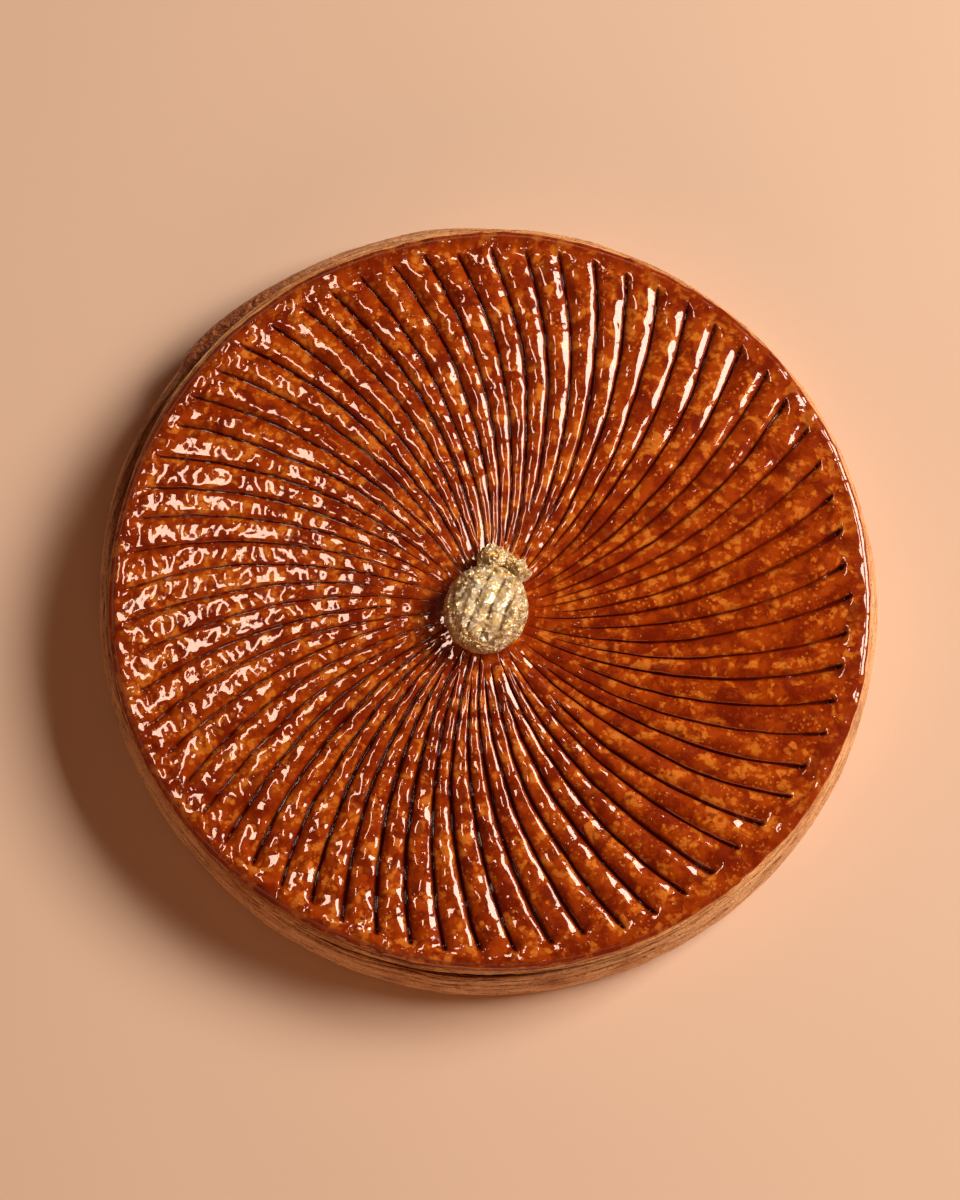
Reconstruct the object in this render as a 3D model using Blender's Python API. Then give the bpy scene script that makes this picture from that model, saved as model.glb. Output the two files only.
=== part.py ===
"""A galette des rois: two stacked discs of puff pastry, the upper one scored and
glazed, with a nut wrapped in gold leaf at its middle.

Lengths are in metres and +Z is up. The origin is the middle of the flat underside.
"""
import math

import bmesh
import bpy

# Discs
LOWER_RADIUS = 0.1300        # widest line of the lower disc
UPPER_RADIUS = 0.1263        # widest line of the upper disc
GLAZE_RADIUS = 0.1230        # where the glazed top starts to round over
SEAM_HEIGHT = 0.0170         # flat top of the lower disc
EDGE_HEIGHT = 0.0315         # glazed top at its rim
CENTRE_HEIGHT = 0.0340       # glazed top at its middle
CLEARANCE = 0.0003           # gap between neighbouring pieces

# A fold at the back left, where the lower disc's lip swells out and curls up
FOLD_SIDE = math.radians(139)
FOLD_HALF_WIDTH = math.radians(27)
FOLD_OUT = 0.0030
FOLD_RISE = 0.0020

# Scored lines: each one curves anticlockwise on its way out to the rim
GROOVES = 64
SCORE_CENTRE = (-0.0008, -0.0075)
SWIRL_RATE = math.radians(190)      # turn for each metre of radius
SPACING_DRIFT = 0.062               # hand spacing: closer at the back right
TIGHT_SIDE = math.radians(68)
GROOVE_DEPTH = 0.0022
GROOVE_HALF_WIDTH = 0.0013
STRIP_CROWN = 0.0006
SEAT_RADIUS = 0.0152                # smooth middle, under the nut
LONG_START_RADII = (0.0215, 0.0330)
SHORT_START_RADIUS = 0.0460         # every other line starts here
OUTER_FRACTIONS = (0.17, 0.35, 0.54, 0.74, 0.95)
BORDER = 0.0038                     # unscored margin inside the glazed rim
BORDER_FRONT = 0.0006               # extra margin at the front
BORDER_BACK = 0.0028                # extra margin at the back

# Gilded nut and its loose tuft of leaf
NUT_HALF_WIDTH = 0.0136
NUT_HALF_LENGTH = 0.0148
NUT_HEIGHT = 0.0122
NUT_TURN = math.radians(-16)
NUT_SEGMENTS = 32
NUT_RIDGE_PITCH = 0.0062
NUT_RIDGE_HEIGHT = 0.0006
TUFT_SIDE = math.radians(68)
TUFT_HALF_SPAN = math.radians(31)
TUFT_RADIUS = 0.0181
TUFT_HALF_THICKNESS = 0.0029
TUFT_HEIGHT = 0.0085
TUFT_STATIONS = 13
TUFT_SIDES = 10

# Distance in from the widest line, and height, down each disc's side
UPPER_SIDE = ((0.0019, 0.0306), (0.0007, 0.0286), (0.0, 0.0240), (0.0003, 0.0196))
UPPER_UNDERSIDE_INSET = 0.0022
LOWER_SIDE = ((0.0030, 0.0162), (0.0010, 0.0130), (0.0, 0.0082), (0.0005, 0.0032), (0.0024, 0.0))
LOWER_TOP_RADIUS = 0.1246


def clear_scene():
    for item in list(bpy.data.objects):
        bpy.data.objects.remove(item, do_unlink=True)


def bump(angle, centre, half_width):
    """A smooth hump that is 1 at centre and 0 beyond half_width either side."""
    away = abs(math.remainder(angle - centre, math.tau))
    if away >= half_width:
        return 0.0
    return math.cos(0.5 * math.pi * away / half_width) ** 2


def polar(radius, angle, height, centre=(0.0, 0.0)):
    return (centre[0] + radius * math.cos(angle), centre[1] + radius * math.sin(angle), height)


def reach(angle, radius):
    """Distance from the score centre, along angle, to a circle about the origin."""
    along = SCORE_CENTRE[0] * math.cos(angle) + SCORE_CENTRE[1] * math.sin(angle)
    offset = SCORE_CENTRE[0] ** 2 + SCORE_CENTRE[1] ** 2
    return math.sqrt(along * along - offset + radius * radius) - along


def dome(point):
    """Height of the glazed top, without its scoring."""
    fraction = math.hypot(point[0], point[1]) / GLAZE_RADIUS
    return CENTRE_HEIGHT + (EDGE_HEIGHT - CENTRE_HEIGHT) * fraction ** 2.4


def groove_angle(index):
    """Where a scored line, counted round, meets the rim."""
    even = math.tau * index / GROOVES
    return even - SPACING_DRIFT * math.sin(even - TIGHT_SIDE)


def border(angle):
    front = BORDER_FRONT * bump(angle, math.radians(272), math.radians(80))
    back = BORDER_BACK * bump(angle, math.radians(112), math.radians(40))
    return BORDER + front + back


# ---------------------------------------------------------------- mesh helpers

def add_ring(mesh, points):
    return [mesh.verts.new(point) for point in points]


def join_rings(mesh, inner, outer):
    count = len(inner)
    for i in range(count):
        j = (i + 1) % count
        mesh.faces.new((inner[i], outer[i], outer[j], inner[j]))


def join_coarse_to_fine(mesh, coarse, fine):
    """Three triangles for each step of the coarse ring, which has half the points."""
    count = len(coarse)
    for i in range(count):
        j = (i + 1) % count
        first = fine[2 * i]
        middle = fine[2 * i + 1]
        last = fine[(2 * i + 2) % len(fine)]
        mesh.faces.new((coarse[i], first, middle))
        mesh.faces.new((coarse[i], middle, coarse[j]))
        mesh.faces.new((coarse[j], middle, last))


def finish_object(name, mesh, material, crease_degrees):
    bmesh.ops.recalc_face_normals(mesh, faces=mesh.faces)
    data = bpy.data.meshes.new(name)
    mesh.to_mesh(data)
    mesh.free()
    data.materials.append(material)
    data.shade_smooth()
    data.set_sharp_from_angle(angle=math.radians(crease_degrees))
    item = bpy.data.objects.new(name, data)
    bpy.context.scene.collection.objects.link(item)
    return item


def make_material(name, colour, roughness, metallic=0.0, coat=0.0):
    material = bpy.data.materials.new(name)
    material.use_nodes = True
    shader = material.node_tree.nodes["Principled BSDF"]
    shader.inputs["Base Color"].default_value = (*colour, 1.0)
    shader.inputs["Roughness"].default_value = roughness
    shader.inputs["Metallic"].default_value = metallic
    shader.inputs["Coat Weight"].default_value = coat
    return material


# ---------------------------------------------------------------- upper disc

def start_angle(rim_angle, radius):
    """Angle at radius of a scored line that meets the rim at rim_angle."""
    return rim_angle - SWIRL_RATE * (GLAZE_RADIUS - radius)


def fine_sample(index, part, radius):
    """One of four points across a strip: groove, shoulder, crown, next shoulder."""
    this = groove_angle(index)
    following = groove_angle(index + 1)
    shoulder = GROOVE_HALF_WIDTH / radius
    rim_angle = (this, this + shoulder, 0.5 * (this + following), following - shoulder)[part]
    return start_angle(rim_angle, radius)


def scored_end(index, part):
    """How far out the scoring runs along one sample of a strip."""
    rim_angle = fine_sample(index, part, GLAZE_RADIUS)
    return reach(rim_angle, GLAZE_RADIUS) - border(rim_angle)


def fine_ring(mesh, fraction, depth):
    """A ring across every strip, at a fraction of the way out along the scoring."""
    points = []
    for index in range(GROOVES):
        for part in range(4):
            end = scored_end(index, part)
            radius = SHORT_START_RADIUS + fraction * (end - SHORT_START_RADIUS)
            x, y, _ = polar(radius, fine_sample(index, part, radius), 0.0, SCORE_CENTRE)
            is_long = index % 2 == 0
            drop = (-depth if is_long or fraction > 0.0 else 0.0, 0.0, STRIP_CROWN, 0.0)[part]
            points.append((x, y, dome((x, y)) + drop))
    return add_ring(mesh, points)


def coarse_ring(mesh, radius, depth, crown):
    """A ring nearer the middle, where only every other scored line is left."""
    points = []
    for index in range(0, GROOVES, 2):
        this = groove_angle(index)
        wide = groove_angle(index + 2) - this
        for part, rise in enumerate((-depth, 0.0, crown, 0.0)):
            angle = start_angle(this + 0.25 * part * wide, radius)
            x, y, _ = polar(radius, angle, 0.0, SCORE_CENTRE)
            points.append((x, y, dome((x, y)) + rise))
    return add_ring(mesh, points)


def rim_angles():
    """Half of the strips' samples, carried out to the rim."""
    return [fine_sample(index, part, GLAZE_RADIUS) for index in range(GROOVES) for part in (0, 2)]


def side_ring(mesh, radius, height):
    points = []
    for angle in rim_angles():
        distance = reach(angle, radius)
        points.append(polar(distance, angle, height, SCORE_CENTRE))
    return add_ring(mesh, points)


def make_upper_crust():
    mesh = bmesh.new()
    seat = coarse_ring(mesh, SEAT_RADIUS, 0.0, 0.0)
    for vertex in seat:
        vertex.co.z = CENTRE_HEIGHT
    mesh.faces.new(seat)
    rings = [seat]
    for radius, strength in zip(LONG_START_RADII, (0.40, 0.75)):
        rings.append(coarse_ring(mesh, radius, strength * GROOVE_DEPTH, 0.5 * STRIP_CROWN))
    for inner, outer in zip(rings, rings[1:]):
        join_rings(mesh, inner, outer)

    short_start = fine_ring(mesh, 0.0, 0.9 * GROOVE_DEPTH)
    join_coarse_to_fine(mesh, rings[-1], short_start)
    fine = [short_start]
    fine += [fine_ring(mesh, fraction, GROOVE_DEPTH) for fraction in OUTER_FRACTIONS]
    fine.append(fine_ring(mesh, 1.0, 0.0))
    for inner, outer in zip(fine, fine[1:]):
        join_rings(mesh, inner, outer)

    glazed_rim = side_ring(mesh, GLAZE_RADIUS, EDGE_HEIGHT)
    join_coarse_to_fine(mesh, glazed_rim, fine[-1])
    sides = [glazed_rim]
    sides += [side_ring(mesh, UPPER_RADIUS - inset, height) for inset, height in UPPER_SIDE]
    sides.append(side_ring(mesh, UPPER_RADIUS - UPPER_UNDERSIDE_INSET, SEAM_HEIGHT + CLEARANCE))
    for inner, outer in zip(sides, sides[1:]):
        join_rings(mesh, inner, outer)
    mesh.faces.new(sides[-1])
    glaze = make_material("caramel_glaze", (0.34, 0.085, 0.018), 0.18, coat=0.8)
    return finish_object("upper_crust", mesh, glaze, 50)


# ---------------------------------------------------------------- lower disc

def lower_ring(mesh, inset, height):
    points = []
    for angle in rim_angles():
        fold = bump(angle, FOLD_SIDE, FOLD_HALF_WIDTH)
        above_base = height / SEAM_HEIGHT
        radius = LOWER_RADIUS - inset + FOLD_OUT * fold
        points.append(polar(radius, angle, height + FOLD_RISE * fold * above_base))
    return add_ring(mesh, points)


def make_lower_crust():
    mesh = bmesh.new()
    top = add_ring(mesh, [polar(LOWER_TOP_RADIUS, angle, SEAM_HEIGHT) for angle in rim_angles()])
    mesh.faces.new(top)
    rings = [top]
    rings += [lower_ring(mesh, inset, height) for inset, height in LOWER_SIDE]
    for inner, outer in zip(rings, rings[1:]):
        join_rings(mesh, inner, outer)
    mesh.faces.new(rings[-1])
    pastry = make_material("baked_pastry", (0.40, 0.17, 0.06), 0.62)
    return finish_object("lower_crust", mesh, pastry, 50)


# ---------------------------------------------------------------- nut and leaf

def nut_point(width_fraction, height, angle):
    """A point of the oval nut; slanting ridges lift its crown."""
    x = NUT_HALF_WIDTH * width_fraction * math.cos(angle)
    y = NUT_HALF_LENGTH * width_fraction * math.sin(angle)
    crown = max(0.0, 1.0 - width_fraction) ** 0.5
    ridge = NUT_RIDGE_HEIGHT * math.cos(math.tau * (x - 0.15 * y) / NUT_RIDGE_PITCH)
    return (x, y, height + crown * ridge)


def make_gilded_nut(gold):
    mesh = bmesh.new()
    profile = ((0.82, 0.0), (0.94, 0.10), (1.0, 0.30), (0.975, 0.50), (0.88, 0.70), (0.70, 0.85),
               (0.46, 0.94), (0.22, 0.985))
    rings = []
    for width_fraction, height_fraction in profile:
        turns = [math.tau * step / NUT_SEGMENTS for step in range(NUT_SEGMENTS)]
        height = NUT_HEIGHT * height_fraction
        rings.append(add_ring(mesh, [nut_point(width_fraction, height, turn) for turn in turns]))
    mesh.faces.new(rings[0])
    for inner, outer in zip(rings, rings[1:]):
        join_rings(mesh, inner, outer)
    mesh.faces.new(rings[-1])
    nut = finish_object("gilded_nut", mesh, gold, 40)
    nut.location = (*SCORE_CENTRE, CENTRE_HEIGHT + CLEARANCE)
    nut.rotation_euler.z = NUT_TURN
    return nut


def make_leaf_tuft(gold):
    """A crumpled flap of leaf that leans against the nut's back right side."""
    mesh = bmesh.new()
    rings = []
    for station in range(TUFT_STATIONS):
        along = 2.0 * station / (TUFT_STATIONS - 1) - 1.0
        swell = math.sqrt(max(0.0, 1.0 - along ** 4)) * 0.86 + 0.14
        crumple = 1.0 + 0.14 * math.sin(2.3 * station) + 0.08 * math.sin(5.1 * station)
        angle = TUFT_SIDE + TUFT_HALF_SPAN * along
        half_height = 0.5 * TUFT_HEIGHT * swell * crumple
        points = []
        for side in range(TUFT_SIDES):
            turn = math.tau * side / TUFT_SIDES
            radius = TUFT_RADIUS + TUFT_HALF_THICKNESS * swell * math.cos(turn)
            points.append(polar(radius, angle, half_height * (1.0 + math.sin(turn))))
        rings.append(add_ring(mesh, points))
    mesh.faces.new(rings[0])
    for first, second in zip(rings, rings[1:]):
        join_rings(mesh, first, second)
    mesh.faces.new(rings[-1])
    tuft = finish_object("gold_leaf_tuft", mesh, gold, 40)
    tuft.location = (*SCORE_CENTRE, CENTRE_HEIGHT + STRIP_CROWN + CLEARANCE)
    return tuft


def main():
    clear_scene()
    make_lower_crust()
    make_upper_crust()
    gold = make_material("gold_leaf", (0.86, 0.66, 0.28), 0.25, metallic=1.0)
    make_gilded_nut(gold)
    make_leaf_tuft(gold)


main()
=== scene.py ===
import math

import bpy
import numpy as np
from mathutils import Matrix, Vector


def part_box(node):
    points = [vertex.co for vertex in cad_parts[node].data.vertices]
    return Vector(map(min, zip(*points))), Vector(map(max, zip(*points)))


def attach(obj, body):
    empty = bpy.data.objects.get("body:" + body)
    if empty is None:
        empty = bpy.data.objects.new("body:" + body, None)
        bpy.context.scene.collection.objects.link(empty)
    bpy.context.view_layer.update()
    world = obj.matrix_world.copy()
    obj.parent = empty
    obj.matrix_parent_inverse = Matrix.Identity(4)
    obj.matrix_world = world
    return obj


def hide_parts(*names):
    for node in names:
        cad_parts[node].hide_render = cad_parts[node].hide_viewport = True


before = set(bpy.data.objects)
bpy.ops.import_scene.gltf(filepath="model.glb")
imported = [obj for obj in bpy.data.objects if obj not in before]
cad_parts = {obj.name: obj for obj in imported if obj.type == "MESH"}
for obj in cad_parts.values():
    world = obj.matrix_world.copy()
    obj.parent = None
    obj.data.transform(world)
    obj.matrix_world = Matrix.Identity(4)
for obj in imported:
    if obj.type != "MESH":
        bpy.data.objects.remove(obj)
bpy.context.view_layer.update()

# A galette des rois: a scored and glazed disc of puff pastry on a plain one, with a
# nut wrapped in gold leaf at its middle. Lengths are in metres, +Z is up.

MM = 0.001
TURN = math.tau

# ---------------------------------------------------------------- sizes, from the frame

upper_low, upper_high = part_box("upper_crust")
lower_low, lower_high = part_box("lower_crust")
nut_low, nut_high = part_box("gilded_nut")
tuft_low, tuft_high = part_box("gold_leaf_tuft")

UPPER_RADIUS = 0.5 * (upper_high.x - upper_low.x)
LOWER_RADIUS = 0.5 * (lower_high.x - lower_low.x)
UPPER_BOTTOM = upper_low.z
SEAM = UPPER_BOTTOM - 0.3 * MM
BASE = lower_low.z
NUT_BASE = nut_low.z
CENTRE_HEIGHT = NUT_BASE - 0.3 * MM
RIM_HEIGHT = CENTRE_HEIGHT - 2.5 * MM
GLAZE_RADIUS = UPPER_RADIUS - 3.3 * MM
SCORE_X = 0.5 * (nut_low.x + nut_high.x)
SCORE_Y = 0.5 * (nut_low.y + nut_high.y)

# Scored lines
GROOVES = 64
SWIRL_RATE = math.radians(190)          # turn for each metre of radius
SPACING_DRIFT = 0.062
TIGHT_SIDE = math.radians(68)
CUT_DEPTH = 1.5 * MM
CUT_HALF_WIDTH = 0.66 * MM
SHOULDER = 4.5 * MM                     # how far a strip rounds over towards its cut
SHOULDER_SLOPE = 0.42
KNEE = 0.4                              # share of the shoulder over which it steepens
BORDER = 3.8 * MM
BORDER_FRONT = 0.6 * MM
BORDER_BACK = 2.8 * MM
FRONT_SIDE = math.radians(272)
BACK_SIDE = math.radians(112)


# ---------------------------------------------------------------- numbers and noise

def smooth(low, high, value):
    """0 below low, 1 above high, and a smooth rise between them."""
    t = np.clip((value - low) / (high - low), 0.0, 1.0)
    return t * t * (3.0 - 2.0 * t)


def bump(angle, centre, half_width):
    """A smooth hump round the disc: 1 at centre, 0 beyond half_width either side."""
    away = np.abs((angle - centre + math.pi) % TURN - math.pi)
    return np.where(away < half_width, np.cos(0.5 * math.pi * away / half_width) ** 2, 0.0)


def lattice(ix, iy, iz, seed):
    """A repeatable value from -1 to 1 for each whole-numbered point."""
    n = (ix * 374761393 + iy * 668265263 + iz * 1274126177 + seed * 362437) & 0xFFFFFFFF
    n = ((n ^ (n >> 13)) * 1103515245) & 0xFFFFFFFF
    n = ((n ^ (n >> 15)) * 668265263) & 0xFFFFFFFF
    return ((n ^ (n >> 16)) & 0xFFFFFF) / float(0x7FFFFF) - 1.0


def noise(x, y, z, seed=0):
    """Smooth value noise from -1 to 1, with features about one unit across."""
    x, y, z = np.broadcast_arrays(x, y, z)
    ix = np.floor(x).astype(np.int64)
    iy = np.floor(y).astype(np.int64)
    iz = np.floor(z).astype(np.int64)
    fx, fy, fz = (f * f * f * (f * (f * 6 - 15) + 10) for f in (x - ix, y - iy, z - iz))
    total = 0.0
    for dx in (0, 1):
        for dy in (0, 1):
            for dz in (0, 1):
                weight = (fx if dx else 1 - fx) * (fy if dy else 1 - fy) * (fz if dz else 1 - fz)
                total = total + weight * lattice(ix + dx, iy + dy, iz + dz, seed)
    return total


def rough(x, y, z, seed=0, octaves=3, gain=0.5):
    """Noise with finer and finer detail added."""
    total, size, scale = 0.0, 1.0, 1.0
    for octave in range(octaves):
        total = total + size * noise(x * scale, y * scale, z * scale, seed + 31 * octave)
        size *= gain
        scale *= 2.03
    return total


def creased(x, y, z, seed=0):
    """Noise with sharp ridges, from 0 in the folds to 1 on them."""
    return 1.0 - np.abs(noise(x, y, z, seed))


# ---------------------------------------------------------------- mesh helpers

def finish_mesh(name, points, faces, material, attributes=None):
    mesh = bpy.data.meshes.new(name)
    mesh.from_pydata(points, [], faces)
    mesh.materials.append(material)
    for key, values in (attributes or {}).items():
        layer = mesh.attributes.new(key, "FLOAT", "POINT")
        layer.data.foreach_set("value", np.asarray(values, np.float32))
    mesh.shade_smooth()
    mesh.update()
    piece = bpy.data.objects.new(name, mesh)
    bpy.context.scene.collection.objects.link(piece)
    return piece


def band_faces(count, around):
    """Quads between rings of points, facing out where the rings run outwards and down."""
    i, j = np.meshgrid(np.arange(count - 1), np.arange(around), indexing="ij")
    k = (j + 1) % around
    quads = (i * around + j, (i + 1) * around + j, (i + 1) * around + k, i * around + k)
    return np.stack(quads, axis=-1).reshape(-1, 4)


def closed_rings(name, rings, material, attributes=None):
    """A closed mesh through rings that run from the top middle, outwards, to the bottom middle."""
    count, around = rings.shape[:2]
    ends = np.stack([rings[0].mean(axis=0), rings[-1].mean(axis=0)])
    points = np.concatenate([rings.reshape(-1, 3), ends])
    top, bottom = count * around, count * around + 1
    faces = band_faces(count, around).tolist()
    last = (count - 1) * around
    for j in range(around):
        k = (j + 1) % around
        faces.append([top, j, k])
        faces.append([bottom, last + k, last + j])
    full = {}
    for key, values in (attributes or {}).items():
        full[key] = np.concatenate([values.ravel(), [values[0].mean(), values[-1].mean()]])
    return finish_mesh(name, points.tolist(), faces, material, full)


# ---------------------------------------------------------------- shader helpers

MID_GREY = (0.5, 0.5, 0.5)              # taken off a random colour, to centre it on zero


class Shader:
    """One Principled material and short ways to add nodes to it."""

    def __init__(self, name, **constants):
        self.material = bpy.data.materials.new(name)
        self.material.use_nodes = True
        self.tree = self.material.node_tree
        self.principled = self.tree.nodes["Principled BSDF"]
        self.place = self.node("ShaderNodeTexCoord").outputs["Object"]
        for socket, value in constants.items():
            self.principled.inputs[socket.replace("_", " ")].default_value = value

    def node(self, kind, links=None, **settings):
        made = self.tree.nodes.new(kind)
        for key, value in settings.items():
            setattr(made, key, value)
        for key, value in (links or {}).items():
            self.put(made.inputs[key], value)
        return made

    def put(self, socket, value):
        if isinstance(value, bpy.types.NodeSocket):
            self.tree.links.new(value, socket)
        elif isinstance(value, tuple) and len(value) == 3 and socket.type == "RGBA":
            socket.default_value = (*value, 1.0)
        else:
            socket.default_value = value

    def out(self, socket, value):
        self.put(self.principled.inputs[socket], value)

    def noise(self, scale, detail=2.0, roughness=0.5, distortion=0.0, vector=None):
        links = {"Vector": vector or self.place, "Scale": scale, "Detail": detail,
                 "Roughness": roughness, "Distortion": distortion}
        return self.node("ShaderNodeTexNoise", links).outputs["Fac"]

    def cells(self, scale, randomness=1.0, feature="F1", vector=None):
        links = {"Vector": vector or self.place, "Scale": scale, "Randomness": randomness}
        return self.node("ShaderNodeTexVoronoi", links, feature=feature).outputs["Distance"]

    def vector_maths(self, operation, a, b, result="Vector"):
        return self.node("ShaderNodeVectorMath", {0: a, 1: b}, operation=operation).outputs[result]

    def facets(self, scale, vector):
        """Height of small flat facets, each one tilted its own way."""
        links = {"Vector": vector, "Scale": scale}
        cell = self.node("ShaderNodeTexVoronoi", links, feature="F1").outputs
        inside = self.vector_maths("SUBTRACT", vector, cell["Position"])
        tilt = self.vector_maths("SUBTRACT", cell["Color"], MID_GREY)
        return self.vector_maths("DOT_PRODUCT", inside, tilt, "Value")

    def warped(self, amount, scale):
        """Object coordinates pushed about by noise, so that round spots lose their roundness."""
        links = {"Vector": self.place, "Scale": scale, "Detail": 2.0}
        colour = self.node("ShaderNodeTexNoise", links).outputs["Color"]
        centred = self.vector_maths("SUBTRACT", colour, MID_GREY)
        pushed = self.vector_maths("MULTIPLY", centred, (amount,) * 3)
        return self.vector_maths("ADD", self.place, pushed)

    def maths(self, operation, a, b=0.0, c=0.0):
        return self.node("ShaderNodeMath", {0: a, 1: b, 2: c}, operation=operation).outputs[0]

    def between(self, value, low, high, start=0.0, end=1.0):
        """start below low, end above high, smooth between."""
        links = {"Value": value, "From Min": low, "From Max": high, "To Min": start, "To Max": end}
        return self.node("ShaderNodeMapRange", links, interpolation_type="SMOOTHSTEP").outputs[0]

    def blend(self, factor, a, b):
        made = self.node("ShaderNodeMix", data_type="RGBA")
        self.put(made.inputs[0], factor)
        self.put(made.inputs[6], a)
        self.put(made.inputs[7], b)
        return made.outputs[2]

    def attribute(self, name):
        return self.node("ShaderNodeAttribute", attribute_name=name).outputs["Fac"]

    def relief(self, height, depth):
        """A bump that stands depth metres high where height is 1."""
        links = {"Height": height, "Distance": depth, "Strength": 1.0}
        return self.node("ShaderNodeBump", links).outputs[0]


# ---------------------------------------------------------------- colours, as linear RGB

GLAZE_RED = (0.235, 0.019, 0.0004)
GLAZE_BROWN = (0.41, 0.058, 0.0016)
GLAZE_ORANGE = (0.54, 0.115, 0.005)
GLAZE_AMBER = (0.74, 0.235, 0.025)
GLAZE_SPECKLE = (0.40, 0.060, 0.002)
GLAZE_SPOT = (0.80, 0.28, 0.038)
GLAZE_POOLED = (0.18, 0.011, 0.0003)
GLAZE_EDGE = (0.21, 0.017, 0.0005)
# Pooled glaze and painted shade on the shoulders beside the cuts
GLAZE_SHOULDER_POOL_AND_SHADE = (0.20, 0.014, 0.0004)
# Pooled glaze and painted shade inside the cuts
GLAZE_CUT_POOL_AND_SHADE = (0.085, 0.0045, 0.0004)

UPPER_CREST = (0.94, 0.54, 0.22)
UPPER_BODY = (0.68, 0.28, 0.08)
# Painted shade between the upper layers' leaves
UPPER_GAP_SHADE = (0.17, 0.042, 0.010)
LOWER_CREST = (0.94, 0.57, 0.29)
LOWER_BODY = (0.74, 0.35, 0.14)
# Painted shade between the lower layers' leaves
LOWER_GAP_SHADE = (0.15, 0.040, 0.011)
PASTRY_TOASTED = (0.42, 0.14, 0.035)
KNOB_DARK = (0.20, 0.028, 0.004)
KNOB_LIGHT = (0.62, 0.20, 0.035)

LEAF_WARM = (1.0, 0.83, 0.40)
LEAF_PALE = (1.0, 0.96, 0.73)
# Painted shade along the leaf's creases
LEAF_CREASE_SHADE = (0.56, 0.25, 0.04)
LEAF_WORN = (1.0, 0.55, 0.11)
# Painted shade and dark reflection in the hollows between the nut's ridges
LEAF_HOLLOW_SHADE = (0.13, 0.07, 0.02)
SKIN_DARK = (0.30, 0.08, 0.015)
SKIN_LIGHT = (0.58, 0.24, 0.06)

FLOOR_DARK = (0.83, 0.67, 0.535)
FLOOR_LIGHT = (0.86, 0.70, 0.565)
KEY_COLOUR = (1.0, 0.79, 0.64)
FILL_COLOUR = (1.0, 0.45, 0.22)
GLINTS_COLOUR = (1.0, 0.66, 0.50)
ROOM_COLOUR = (1.0, 0.36, 0.14)


# ---------------------------------------------------------------- materials

GLAZE_RELIEF = 0.64 * MM
PASTRY_RELIEF = 0.35 * MM
SKIN_RELIEF = 0.25 * MM


def glaze_material():
    """Caramel glaze: red-brown, with crisp amber mottling, dark red where it pools, and pooled glaze with
    painted shade in and beside the cuts.
    """
    s = Shader("caramel_glaze", Roughness=0.4, IOR=1.5, Specular_IOR_Level=0.03,
               Coat_Weight=1.0, Coat_Roughness=0.05, Coat_IOR=1.6)
    browner = s.between(s.noise(170.0, 3.0, 0.6), 0.38, 0.58)
    colour = s.blend(browner, GLAZE_RED, GLAZE_BROWN)
    patches = s.noise(175.0, 4.0, 0.62, 0.4)
    bubbles = s.cells(400.0, 1.0, "F1", s.warped(0.0016, 360.0))
    mottle = s.maths("MULTIPLY_ADD", bubbles, -0.24, patches)
    mottle = s.maths("MULTIPLY_ADD", s.attribute("ends"), 0.02, mottle)
    colour = s.blend(s.between(mottle, 0.400, 0.432, 0.0, 0.85), colour, GLAZE_ORANGE)
    colour = s.blend(s.between(mottle, 0.450, 0.495, 0.0, 0.90), colour, GLAZE_AMBER)
    speckled = s.between(s.noise(950.0, 3.0, 0.6), 0.54, 0.42, 0.0, 0.3)
    colour = s.blend(speckled, colour, GLAZE_SPECKLE)
    small = s.cells(620.0, 1.0, "F1", s.warped(0.0009, 800.0))
    sprinkled = s.between(s.noise(110.0, 2.0), 0.50, 0.60)
    spot = s.maths("MULTIPLY", s.between(small, 0.34, 0.18), sprinkled)
    colour = s.blend(s.maths("MULTIPLY", spot, 0.7), colour, GLAZE_SPOT)
    pooled = s.between(s.noise(95.0, 4.0, 0.6, 0.5), 0.53, 0.62, 0.0, 0.80)
    colour = s.blend(pooled, colour, GLAZE_POOLED)
    colour = s.blend(s.attribute("edge"), colour, GLAZE_EDGE)
    # Pooled glaze and painted shade on the shoulders beside the cuts
    colour = s.blend(s.attribute("shoulder_pool_and_shade"), colour, GLAZE_SHOULDER_POOL_AND_SHADE)
    # Pooled glaze and painted shade inside the cuts
    colour = s.blend(s.attribute("cut_pool_and_shade"), colour, GLAZE_CUT_POOL_AND_SHADE)
    s.out("Base Color", colour)

    # Soft lumps, and here and there a blister, most of them at the left
    lumps = s.maths("MULTIPLY_ADD", s.noise(430.0, 0.0), 0.13, s.noise(215.0, 0.0))
    sparse = s.between(s.noise(150.0, 2.0), 0.44, 0.56)
    blisters = s.between(s.cells(430.0, 1.0, "F1", s.warped(0.0008, 500.0)), 0.34, -0.10)
    height = s.maths("MULTIPLY_ADD", s.maths("MULTIPLY", blisters, sparse), 0.25, lumps)
    height = s.maths("MULTIPLY", height, s.attribute("lumpy"))
    normal = s.relief(height, GLAZE_RELIEF)
    s.out("Normal", normal)
    s.out("Coat Normal", normal)
    return s.material


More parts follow.
